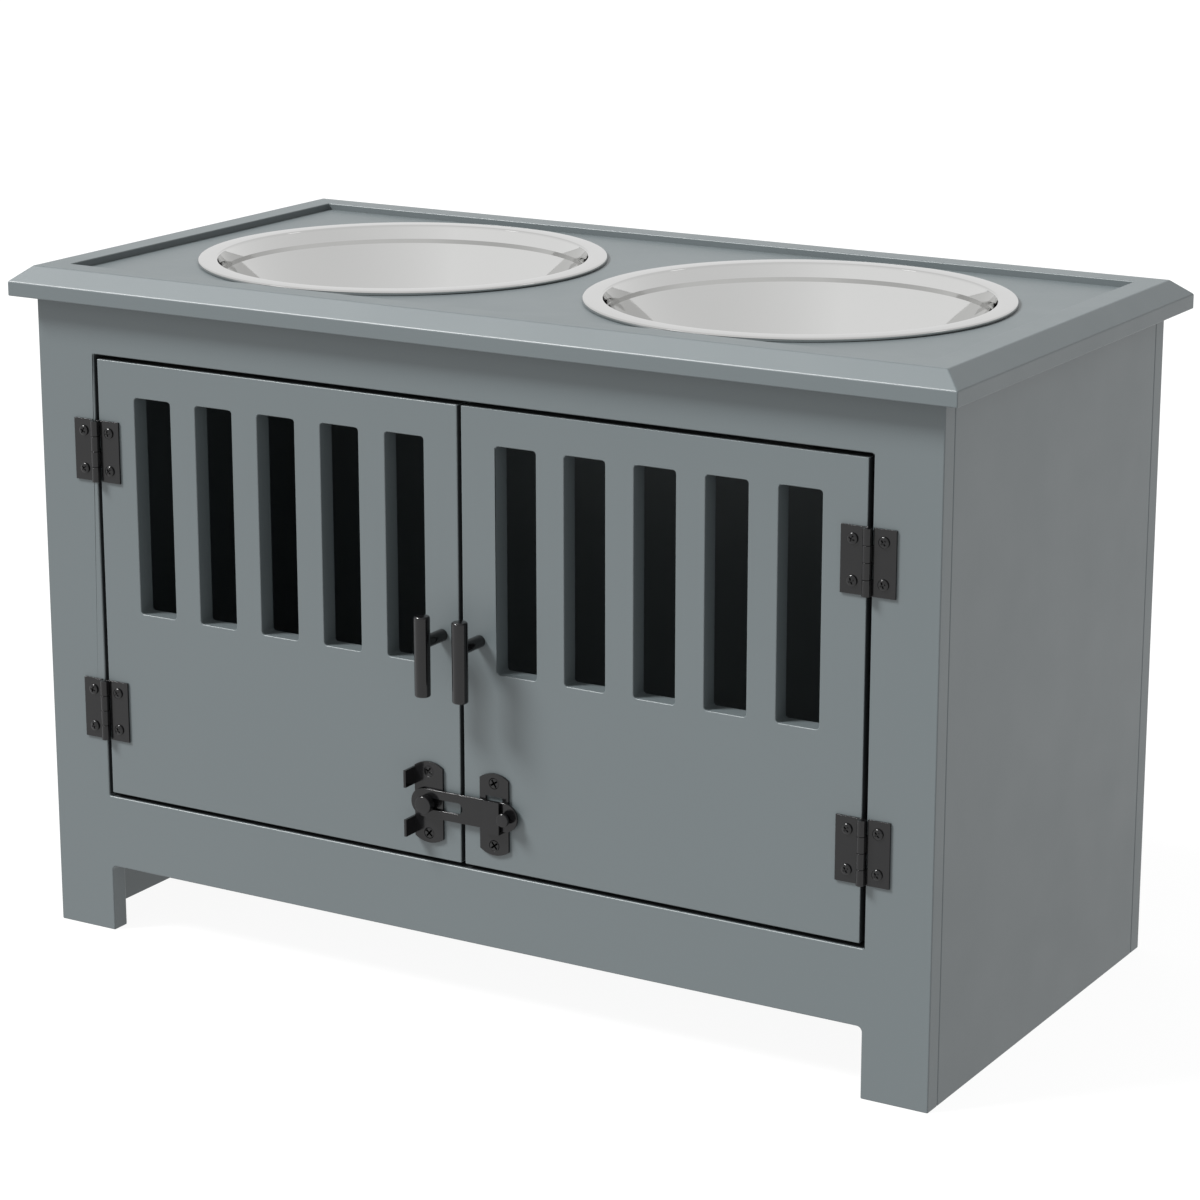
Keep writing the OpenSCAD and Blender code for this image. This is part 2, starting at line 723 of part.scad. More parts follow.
module latch_keeper_plate() {
    front_h = lock_z + bar_h / 2 + hook_over - hook_low;
    color(black) placed() {
        difference() {
            plate(1);
            translate([plate_x - hook_w / 2, -plate_t - cut, hook_low])
                cube([hook_w, plate_t + 2 * cut, bar_h + hook_under + hook_window]);
        }
        translate([plate_x - hook_w / 2, hook_front, hook_low - plate_t])
            cube([hook_w, -hook_front, plate_t]);
        translate([plate_x - hook_w / 2, hook_front, hook_low - 0.01]) cube([hook_w, plate_t, front_h]);
    }
}

module plate_screws(side) {
    color(black) placed() for (k = [-1, 1])
        from_front(side * plate_x, -plate_t, lock_z + k * plate_screw_z / 2)
            flat_screw(plate_head_d, shank_d, shank_l);
}

module latch_base_screws() { plate_screws(-1); }
module latch_keeper_screws() { plate_screws(1); }

front_frame();
side_panel_left();
side_panel_right();
back_panel();
cabinet_floor();
floor_cleat_left();
floor_cleat_right();
top_cleat_left();
top_cleat_right();
floor_cleat_screws();
top_cleat_screws();
corner_dowels();
door_stop_strip();
top_panel();
top_rail_front();
top_rail_rear();
top_rail_left();
top_rail_right();
bowl_left();
bowl_right();
door_left();
door_right();
hinge_frame_leaf_left_upper();
hinge_frame_leaf_left_lower();
hinge_frame_leaf_right_upper();
hinge_frame_leaf_right_lower();
hinge_door_leaf_left_upper();
hinge_door_leaf_left_lower();
hinge_door_leaf_right_upper();
hinge_door_leaf_right_lower();
hinge_pin_left_upper();
hinge_pin_left_lower();
hinge_pin_right_upper();
hinge_pin_right_lower();
hinge_frame_screws();
hinge_door_screws_left();
hinge_door_screws_right();
handle_bar_left();
handle_bar_right();
handle_post_left();
handle_post_right();
handle_screw_left();
handle_screw_right();
latch_base_plate();
latch_pivot_pin();
latch_base_screws();
latch_bar();
latch_bar_knob();
latch_keeper_plate();
latch_keeper_screws();
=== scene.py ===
import bpy
import bmesh
import math
from mathutils import Matrix, Vector


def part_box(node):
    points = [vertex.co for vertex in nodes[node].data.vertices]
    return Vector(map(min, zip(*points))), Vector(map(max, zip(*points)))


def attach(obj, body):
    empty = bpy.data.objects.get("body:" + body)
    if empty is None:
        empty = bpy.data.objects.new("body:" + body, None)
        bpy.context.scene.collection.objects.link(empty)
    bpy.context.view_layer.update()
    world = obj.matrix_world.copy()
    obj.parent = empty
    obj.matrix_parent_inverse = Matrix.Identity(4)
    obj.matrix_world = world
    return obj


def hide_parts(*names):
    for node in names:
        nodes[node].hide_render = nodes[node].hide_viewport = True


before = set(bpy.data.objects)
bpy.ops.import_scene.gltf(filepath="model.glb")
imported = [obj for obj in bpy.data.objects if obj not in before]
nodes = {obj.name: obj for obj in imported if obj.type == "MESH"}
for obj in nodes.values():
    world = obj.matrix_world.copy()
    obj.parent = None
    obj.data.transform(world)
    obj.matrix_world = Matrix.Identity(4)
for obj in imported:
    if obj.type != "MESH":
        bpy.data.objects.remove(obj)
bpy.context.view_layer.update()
print("frame loaded,", len(nodes), "solids")

mergeGap = 3e-6  # corners of a CAD solid that are closer than this are one corner
flatAngle = math.radians(0.6)  # faces that meet flatter than this are one face
sharpAngle = math.radians(32)  # edges sharper than this are rounded
holeSpan = 0.012  # a loop of edges smaller than this is the rim of a screw or dowel hole
onPlane = 2e-5  # a face this close to a plane lies on it
level = 0.01  # a face whose normal leans less than this towards an axis runs along that axis
noiseLow, noiseHigh = 0.3, 0.7  # nearly all of a noise pattern's values lie between these


def linearColour(code):  # "#RRGGBB" as the eye reads it, to the linear values a shader works in
    parts = [int(code[i:i + 2], 16) / 255 for i in (1, 3, 5)]
    return [v / 12.92 if v <= 0.04045 else ((v + 0.055) / 1.055) ** 2.4 for v in parts] + [1.0]


def addNode(tree, kind, settings=None, sockets=None):
    node = tree.nodes.new(kind)
    for name, value in (settings or {}).items():
        setattr(node, name, value)
    for name, value in (sockets or {}).items():
        if isinstance(value, bpy.types.NodeSocket):
            tree.links.new(value, node.inputs[name])
        else:
            node.inputs[name].default_value = value
    return node


def link(mesh, name):
    piece = bpy.data.objects.new(name, mesh)
    bpy.context.scene.collection.objects.link(piece)
    return piece


def keepShape(shape, name):  # a new mesh from edited faces
    mesh = bpy.data.meshes.new(name)
    shape.to_mesh(mesh)
    shape.free()
    return mesh


def settle(piece):  # turns a piece and its modifiers into one plain mesh
    graph = bpy.context.evaluated_depsgraph_get()
    mesh = bpy.data.meshes.new_from_object(piece.evaluated_get(graph))
    piece.modifiers.clear()
    piece.data = mesh
    mesh.name = piece.name
    return piece


def markOutline(piece):
    # a bevel weight on every sharp edge, apart from the rims of screw and dowel holes, which stay sharp
    shape = bmesh.new()
    shape.from_mesh(piece.data)
    weight = shape.edges.layers.float.new("bevel_weight_edge")
    sharp = {edge for edge in shape.edges if edge.is_manifold and edge.calc_face_angle() > sharpAngle}
    while sharp:
        group, todo = [], [sharp.pop()]
        while todo:
            edge = todo.pop()
            group.append(edge)
            near = {other for vert in edge.verts for other in vert.link_edges} & sharp
            sharp -= near
            todo += near
        points = [vert.co for edge in group for vert in edge.verts]
        outline = max(max(p[i] for p in points) - min(p[i] for p in points) for i in range(3)) > holeSpan
        for edge in group:
            edge[weight], edge.smooth = float(outline), outline
    shape.to_mesh(piece.data)
    shape.free()
    return piece


def ease(piece, width, segments, limit="ANGLE"):
    # rounds the sharp edges, and keeps the flat faces flat in shading
    # with limit "WEIGHT" only the marked edges, at their full width: round corners in a board's outline
    # would otherwise thin the rounding of every edge
    piece.data.polygons.foreach_set("use_smooth", [True] * len(piece.data.polygons))
    bevel = piece.modifiers.new("easedEdges", "BEVEL")
    bevel.width, bevel.segments = width, segments
    bevel.limit_method, bevel.angle_limit = limit, sharpAngle
    bevel.use_clamp_overlap = limit == "ANGLE"
    bevel.miter_outer = "MITER_ARC"
    bevel.harden_normals = True
    return settle(piece)


def finish(piece, material, body, slot, *replaced):
    piece.data.materials.clear()
    piece.data.materials.append(material)
    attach(piece, body)
    if replaced:
        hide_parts(*replaced)


def joinFlat(mesh, gap=0.0):  # merges corners closer than gap, and faces that lie flat to each other
    shape = bmesh.new()
    shape.from_mesh(mesh)
    if gap:
        bmesh.ops.remove_doubles(shape, verts=shape.verts, dist=gap)
    bmesh.ops.dissolve_limit(shape, angle_limit=flatAngle, verts=shape.verts, edges=shape.edges)
    shape.to_mesh(mesh)
    shape.free()


def copySolid(node, name):  # a merged copy of a CAD solid, its flat faces whole again
    source = nodes[node].data
    mesh = bpy.data.meshes.new(name)
    mesh.from_pydata([v.co.copy() for v in source.vertices], [], [list(p.vertices) for p in source.polygons])
    joinFlat(mesh, mergeGap)
    return link(mesh, name)


def roundCorners(points, steps):
    # points are (across, along, radius); every corner with a radius becomes an arc
    straight = 0.02  # a corner that turns less than about twice this, in radians, stays as it is
    path = []
    for i, (x, y, radius) in enumerate(points):
        here = Vector((x, y))
        if radius <= 0 or i in (0, len(points) - 1):
            path.append(here)
            continue
        before = (Vector(points[i - 1][:2]) - here).normalized()
        after = (Vector(points[i + 1][:2]) - here).normalized()
        half = math.acos(max(-1, min(1, before.dot(after)))) / 2
        if half > math.pi / 2 - straight:
            path.append(here)
            continue
        centre = here + (before + after).normalized() * (radius / math.sin(half))
        start = here + before * (radius / math.tan(half)) - centre
        end = here + after * (radius / math.tan(half)) - centre
        turn = start.angle_signed(end)
        for k in range(steps + 1):
            a = -turn * k / steps
            path.append(centre + Vector((start.x * math.cos(a) - start.y * math.sin(a),
                                         start.x * math.sin(a) + start.y * math.cos(a))))
    return path


def turned(name, profile, place, around, axis="Z"):
    # a lathe: profile is (radius, height) from one end to the other, and a radius of 0 closes at a pole
    shape = bmesh.new()
    pole = 1e-7  # a radius below this closes the surface in one point
    rings = []
    for r, h in profile:
        if r < pole:
            rings.append([shape.verts.new((0, 0, h))])
        else:
            turns = [2 * math.pi * k / around for k in range(around)]
            rings.append([shape.verts.new((r * math.cos(a), r * math.sin(a), h)) for a in turns])
    for a, b in zip(rings, rings[1:]):
        for k in range(around):
            n = (k + 1) % around
            if len(a) == 1:
                shape.faces.new((a[0], b[k], b[n]))
            elif len(b) == 1:
                shape.faces.new((a[k], b[0], a[n]))
            else:
                shape.faces.new((a[k], b[k], b[n], a[n]))
    bmesh.ops.recalc_face_normals(shape, faces=shape.faces)
    for face in shape.faces:
        face.smooth = True
    turn = Matrix.Rotation(math.radians(90), 4, "X") if axis == "-Y" else Matrix.Identity(4)
    bmesh.ops.transform(shape, matrix=Matrix.Translation(place) @ turn, verts=shape.verts)
    return link(keepShape(shape, name), name)


def newTree(name, sockets):  # a geometry tree with named inputs
    tree = bpy.data.node_groups.new(name, "GeometryNodeTree")
    tree.interface.new_socket("Geometry", in_out="INPUT", socket_type="NodeSocketGeometry")
    for label, kind in sockets:
        tree.interface.new_socket(label, in_out="INPUT", socket_type="NodeSocket" + kind)
    tree.interface.new_socket("Geometry", in_out="OUTPUT", socket_type="NodeSocketGeometry")
    return tree, tree.nodes.new("NodeGroupInput").outputs


def grow(name, tree, values, mesh=None):  # runs a geometry tree and keeps the result as a plain mesh
    piece = link(mesh or bpy.data.meshes.new(name), name)
    modifier = piece.modifiers.new("grown", "NODES")
    modifier.node_group = tree
    sockets = {s.name: s.identifier for s in tree.interface.items_tree if s.in_out == "INPUT"}
    for label, value in values.items():
        modifier[sockets[label]] = value
    return settle(piece)


def startMaterial(name):  # an empty material and its node tree
    material = bpy.data.materials.new(name)
    material.use_nodes = True
    material.node_tree.nodes.clear()
    return material, material.node_tree


def patternScale(size):  # a pattern's scale in the shader, for its size in millimetres
    return 1000 / size


# the edge tone is painted shade for the faces inside the door gaps
lacquer = {"tone": "#535A5C", "toneOther": "#51585A", "cloudMm": 160, "roughness": (0.40, 0.44), "hazeMm": 38,
           "peelMm": 1.6, "peel": 0.03, "peelDepth": 0.0003, "ior": 1.5,
           "gapShadeTone": "#24282A", "edgeRoughness": (0.60, 0.66)}


def makeSatinLacquer(name, light, dark, roughness):
    # MDF sprayed with satin lacquer: an even grey with a faint orange peel, which softens the reflections
    material, tree = startMaterial(name)
    where = addNode(tree, "ShaderNodeTexCoord").outputs["Object"]
    cloud = addNode(tree, "ShaderNodeTexNoise", None, {
        "Vector": where, "Scale": patternScale(lacquer["cloudMm"]), "Detail": 3.0})
    tone = addNode(tree, "ShaderNodeMix", {"data_type": "RGBA"}, {
        "Factor": cloud.outputs["Fac"], 6: linearColour(light), 7: linearColour(dark)})
    peel = addNode(tree, "ShaderNodeTexNoise", None, {
        "Vector": where, "Scale": patternScale(lacquer["peelMm"]), "Detail": 1.0})
    haze = addNode(tree, "ShaderNodeTexNoise", None, {
        "Vector": where, "Scale": patternScale(lacquer["hazeMm"]), "Detail": 4.0})
    rough = addNode(tree, "ShaderNodeMapRange", None, {
        "Value": haze.outputs["Fac"], "From Min": noiseLow, "From Max": noiseHigh,
        "To Min": roughness[0], "To Max": roughness[1]})
    bump = addNode(tree, "ShaderNodeBump", None, {
        "Height": peel.outputs["Fac"], "Strength": lacquer["peel"], "Distance": lacquer["peelDepth"]})
    shader = addNode(tree, "ShaderNodeBsdfPrincipled", None, {
        "Base Color": tone.outputs[2], "Roughness": rough.outputs["Result"], "Normal": bump.outputs["Normal"],
        "IOR": lacquer["ior"], "Metallic": 0.0})
    addNode(tree, "ShaderNodeOutputMaterial", None, {"Surface": shader.outputs[0]})
    return material


blackCoat = {"tone": "#0B0B0C", "toneOther": "#0F0F10", "patchMm": 9, "roughness": (0.12, 0.18), "ior": 1.44,
             "gritMm": 0.9, "grit": 0.03, "gritDepth": 0.0001}


def makeBlackCoat():
    # stamped steel with a smooth black powder coat: it mirrors the white room softly, so flat faces read as
    # charcoal, and a very fine pebble breaks the mirror
    material, tree = startMaterial("blackPowderCoatedSteel")
    where = addNode(tree, "ShaderNodeTexCoord").outputs["Object"]
    grit = addNode(tree, "ShaderNodeTexNoise", None, {
        "Vector": where, "Scale": patternScale(blackCoat["gritMm"]), "Detail": 2.0})
    patch = addNode(tree, "ShaderNodeTexNoise", None, {
        "Vector": where, "Scale": patternScale(blackCoat["patchMm"]), "Detail": 3.0})
    tone = addNode(tree, "ShaderNodeMix", {"data_type": "RGBA"}, {
        "Factor": patch.outputs["Fac"],
        6: linearColour(blackCoat["tone"]), 7: linearColour(blackCoat["toneOther"])})
    rough = addNode(tree, "ShaderNodeMapRange", None, {
        "Value": patch.outputs["Fac"], "From Min": noiseLow, "From Max": noiseHigh,
        "To Min": blackCoat["roughness"][0], "To Max": blackCoat["roughness"][1]})
    bump = addNode(tree, "ShaderNodeBump", None, {
        "Height": grit.outputs["Fac"], "Strength": blackCoat["grit"], "Distance": blackCoat["gritDepth"]})
    shader = addNode(tree, "ShaderNodeBsdfPrincipled", None, {
        "Base Color": tone.outputs[2], "Roughness": rough.outputs["Result"], "Normal": bump.outputs["Normal"],
        "IOR": blackCoat["ior"], "Metallic": 0.0})
    addNode(tree, "ShaderNodeOutputMaterial", None, {"Surface": shader.outputs[0]})
    return material


# the rim's tone is painted shade on the flat rim
stainless = {"tone": "#DCDCDB", "toneOther": "#D9D9D8", "smearMm": 45, "roughness": (0.035, 0.06),
             "blend": (0.7, 1.3), "rimShadeTone": "#C5C5C4", "rimFrom": 0.1106, "rimFade": 0.0006,
             "lineMm": 1.1, "lines": 0.015, "lineDepth": 0.0001}


def makeStainless():
    # spun stainless steel, polished: bright, with faint rings from the spinning that only just show
    material, tree = startMaterial("spunStainlessSteel")
    where = addNode(tree, "ShaderNodeTexCoord").outputs["Object"]
    radius = addNode(tree, "ShaderNodeAttribute", {"attribute_name": "fromCentre"}).outputs["Fac"]
    # real spinning lines are about 0.2 mm apart; these are drawn at lineMm so that they show
    along = addNode(tree, "ShaderNodeMath", {"operation": "MULTIPLY"}, {
        0: radius, 1: patternScale(stainless["lineMm"])})
    rings = addNode(tree, "ShaderNodeTexNoise", {"noise_dimensions": "1D"}, {
        "W": along.outputs[0], "Scale": 1.0, "Detail": 3.0})
    smear = addNode(tree, "ShaderNodeTexNoise", None, {
        "Vector": where, "Scale": patternScale(stainless["smearMm"]), "Detail": 3.0})
    tone = addNode(tree, "ShaderNodeMix", {"data_type": "RGBA"}, {
        "Factor": smear.outputs["Fac"],
        6: linearColour(stainless["tone"]), 7: linearColour(stainless["toneOther"])})
    # the flat rim gets a darker tone than the wall: painted shade that offsets how brightly it mirrors the
    # room at a grazing angle
    rimShadeMask = addNode(tree, "ShaderNodeMapRange", None, {
        "Value": radius, "From Min": stainless["rimFrom"],
        "From Max": stainless["rimFrom"] + stainless["rimFade"]})
    tone = addNode(tree, "ShaderNodeMix", {"data_type": "RGBA"}, {
        "Factor": rimShadeMask.outputs["Result"], 6: tone.outputs[2], 7: linearColour(stainless["rimShadeTone"])})
    blend = addNode(tree, "ShaderNodeMath", {"operation": "ADD"}, {
        0: rings.outputs["Fac"], 1: smear.outputs["Fac"]})
    # nearly all of the two patterns' sum lies between the blend's two values
    rough = addNode(tree, "ShaderNodeMapRange", None, {
        "Value": blend.outputs[0], "From Min": stainless["blend"][0], "From Max": stainless["blend"][1],
        "To Min": stainless["roughness"][0], "To Max": stainless["roughness"][1]})
    bump = addNode(tree, "ShaderNodeBump", None, {
        "Height": rings.outputs["Fac"], "Strength": stainless["lines"], "Distance": stainless["lineDepth"]})
    shader = addNode(tree, "ShaderNodeBsdfPrincipled", None, {
        "Base Color": tone.outputs[2], "Roughness": rough.outputs["Result"], "Normal": bump.outputs["Normal"],
        "Metallic": 1.0})
    addNode(tree, "ShaderNodeOutputMaterial", None, {"Surface": shader.outputs[0]})
    return material


zinc = {"tone": "#B9BCC0", "toneOther": "#A9ADB2", "spangleMm": 1.2, "roughness": (0.24, 0.38)}


def makeZinc():
    # zinc-plated steel screws: a cool grey shine with a fine, uneven bloom
    material, tree = startMaterial("zincPlatedSteel")
    where = addNode(tree, "ShaderNodeTexCoord").outputs["Object"]
    bloom = addNode(tree, "ShaderNodeTexNoise", None, {
        "Vector": where, "Scale": patternScale(zinc["spangleMm"]), "Detail": 3.0})
    tone = addNode(tree, "ShaderNodeMix", {"data_type": "RGBA"}, {
        "Factor": bloom.outputs["Fac"], 6: linearColour(zinc["tone"]), 7: linearColour(zinc["toneOther"])})
    rough = addNode(tree, "ShaderNodeMapRange", None, {
        "Value": bloom.outputs["Fac"], "From Min": noiseLow, "From Max": noiseHigh,
        "To Min": zinc["roughness"][0], "To Max": zinc["roughness"][1]})
    shader = addNode(tree, "ShaderNodeBsdfPrincipled", None, {
        "Base Color": tone.outputs[2], "Roughness": rough.outputs["Result"], "Metallic": 1.0})
    addNode(tree, "ShaderNodeOutputMaterial", None, {"Surface": shader.outputs[0]})
    return material


wood = {"contrast": (0.32, 0.68), "wander": 0.6, "roughness": (0.52, 0.72), "ior": 1.5,
        "fibresPerGrain": 6.0, "fibre": 0.25, "fibreDepth": 0.0002}


def makeWood(name, light, dark, grainMm, reachMm):
    # bare wood with its grain along Y: the streaks are grainMm wide and reachMm long, and dull fibres catch
    # the light
    material, tree = startMaterial(name)
    where = addNode(tree, "ShaderNodeTexCoord").outputs["Object"]
    stretch = addNode(tree, "ShaderNodeMapping", None, {
        "Vector": where, "Scale": (patternScale(grainMm), patternScale(reachMm), patternScale(grainMm))})
    grain = addNode(tree, "ShaderNodeTexNoise", None, {
        "Vector": stretch.outputs[0], "Scale": 1.0, "Detail": 6.0, "Distortion": wood["wander"]})
    fibre = addNode(tree, "ShaderNodeTexNoise", None, {
        "Vector": stretch.outputs[0], "Scale": wood["fibresPerGrain"], "Detail": 2.0})
    spread = addNode(tree, "ShaderNodeMapRange", None, {
        "Value": grain.outputs["Fac"], "From Min": wood["contrast"][0], "From Max": wood["contrast"][1]})
    tone = addNode(tree, "ShaderNodeMix", {"data_type": "RGBA"}, {
        "Factor": spread.outputs["Result"], 6: linearColour(light), 7: linearColour(dark)})
    rough = addNode(tree, "ShaderNodeMapRange", None, {
        "Value": fibre.outputs["Fac"], "To Min": wood["roughness"][0], "To Max": wood["roughness"][1]})
    bump = addNode(tree, "ShaderNodeBump", None, {
        "Height": fibre.outputs["Fac"], "Strength": wood["fibre"], "Distance": wood["fibreDepth"]})
    shader = addNode(tree, "ShaderNodeBsdfPrincipled", None, {
        "Base Color": tone.outputs[2], "Roughness": rough.outputs["Result"], "Normal": bump.outputs["Normal"],
        "IOR": wood["ior"]})
    addNode(tree, "ShaderNodeOutputMaterial", None, {"Surface": shader.outputs[0]})
    return material


lightTable = {"tone": "#505050", "glow": 0.93}


def makeLightTable():
    # opal acrylic lit from below: plain and pale, so that shadows on it stay faint
    material, tree = startMaterial("opalAcrylicLightTable")
    shader = addNode(tree, "ShaderNodeBsdfPrincipled", None, {
        "Base Color": linearColour(lightTable["tone"]), "Roughness": 1.0, "Specular IOR Level": 0.0,
        "Emission Color": (1.0, 1.0, 1.0, 1.0), "Emission Strength": lightTable["glow"]})
    addNode(tree, "ShaderNodeOutputMaterial", None, {"Surface": shader.outputs[0]})
    return material


satinPaint = makeSatinLacquer(
    "satinLacqueredMdf", lacquer["tone"], lacquer["toneOther"], lacquer["roughness"])
# the faces inside the door gaps get a darker, duller lacquer than the front: the dark tone is painted shade
# for the gaps
gapShadePaint = makeSatinLacquer(
    "lacqueredMdfEdge", lacquer["gapShadeTone"], lacquer["gapShadeTone"], lacquer["edgeRoughness"])
blackSteel = makeBlackCoat()
bowlSteel = makeStainless()
zincSteel = makeZinc()
# planed softwood battens: pale, with darker growth lines
pine = makeWood("planedPine", "#D8B98C", "#B98F5E", 3.2, 70)
# turned dowel rod: close, short flecks
beech = makeWood("turnedBeech", "#D2AE84", "#BE9468", 1.4, 22)
print("materials made")


boards = {"edge": 0.0008, "segments": 2}
battens = {"edge": 0.0005, "segments": 1}


def paintGapShade(piece, low, high):
    # gives the faces that lie in the four sides of a box, front to back, the darker, duller paint that is
    # painted shade for the door gaps
    def liesOn(value, start, end):
        return min(abs(value - start), abs(value - end)) < onPlane

    def within(value, start, end):
        return start - onPlane < value < end + onPlane

    piece.data.materials.append(gapShadePaint)
    for face in piece.data.polygons:
        x, _, z = face.center
        onSide = liesOn(x, low.x, high.x) and within(z, low.z, high.z)
        onEnd = liesOn(z, low.z, high.z) and within(x, low.x, high.x)
        if abs(face.normal.y) < level and (onSide or onEnd):
            face.material_index = 1


def openingBox():  # the gap round the doors is as wide as the one between them
    left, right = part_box("door_left"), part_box("door_right")
    gap = right[0].x - left[1].x
    margin = Vector((gap, 0, gap))
    return left[0] - margin, right[1] + margin


for node in ("front_frame", "back_panel", "side_panel_left", "side_panel_right", "cabinet_floor",
             "door_stop_strip", "top_panel"):
    board = ease(markOutline(copySolid(node, node + "Eased")), boards["edge"], boards["segments"], "WEIGHT")
    finish(board, satinPaint, "cabinet", "painted_board", node)
    if node == "front_frame":
        # painted shade on the faces round the door opening
        paintGapShade(board, *openingBox())

for node in ("floor_cleat_left", "floor_cleat_right", "top_cleat_left", "top_cleat_right"):
    batten = ease(copySolid(node, node + "Eased"), battens["edge"], battens["segments"])
    finish(batten, pine, "cabinet", "bare_wood", node)

for slot in nodes["corner_dowels"].material_slots:
    slot.material = beech
for node in ("hinge_pin_left_upper", "hinge_pin_left_lower", "hinge_pin_right_upper",
             "hinge_pin_right_lower"):
    for slot in nodes[node].material_slots:
        slot.material = blackSteel
print("boards eased")


# moulding round the top: one painted ring, its mitres filled
moulding = {"width": 0.0265, "height": 0.0175, "band": 0.0086, "bevel": 0.011, "edge": 0.0007, "segments": 3}


def makeMoulding():
    m = moulding
    ends = [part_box("top_rail_" + side) for side in ("front", "rear", "left", "right")]
    x0, y0, z0 = (min(low[i] for low, high in ends) for i in range(3))
    x1, y1 = (max(high[i] for low, high in ends) for i in range(2))
    section = [(0, 0), (m["width"], 0), (m["width"], m["height"]), (m["bevel"], m["height"]), (0, m["band"])]
    shape = bmesh.new()
    loops = [[shape.verts.new((x, y, z0 + v)) for x, y in
              ((x0 + u, y0 + u), (x1 - u, y0 + u), (x1 - u, y1 - u), (x0 + u, y1 - u))] for u, v in section]
    for a, b in zip(loops, loops[1:] + loops[:1]):
        for k in range(4):
            n = (k + 1) % 4
            shape.faces.new((a[k], a[n], b[n], b[k]))
    bmesh.ops.recalc_face_normals(shape, faces=shape.faces)
    return ease(link(keepShape(shape, "topMoulding"), "topMoulding"), m["edge"], m["segments"])


finish(makeMoulding(), satinPaint, "cabinet", "painted_board",
       "top_rail_front", "top_rail_rear", "top_rail_left", "top_rail_right")
print("moulding made")


# doors: a board with a row of slots
door = {"thickness": 0.012, "edge": 0.0006, "segments": 3, "weld": 0.00001,
        "slots": 5, "slotWidth": 0.026, "slotHeight": 0.1307, "slotPitch": 0.044, "slotStart": 0.0224,
        "slotTop": 0.0205, "slotCorner": 0.002, "cornerSteps": 5}


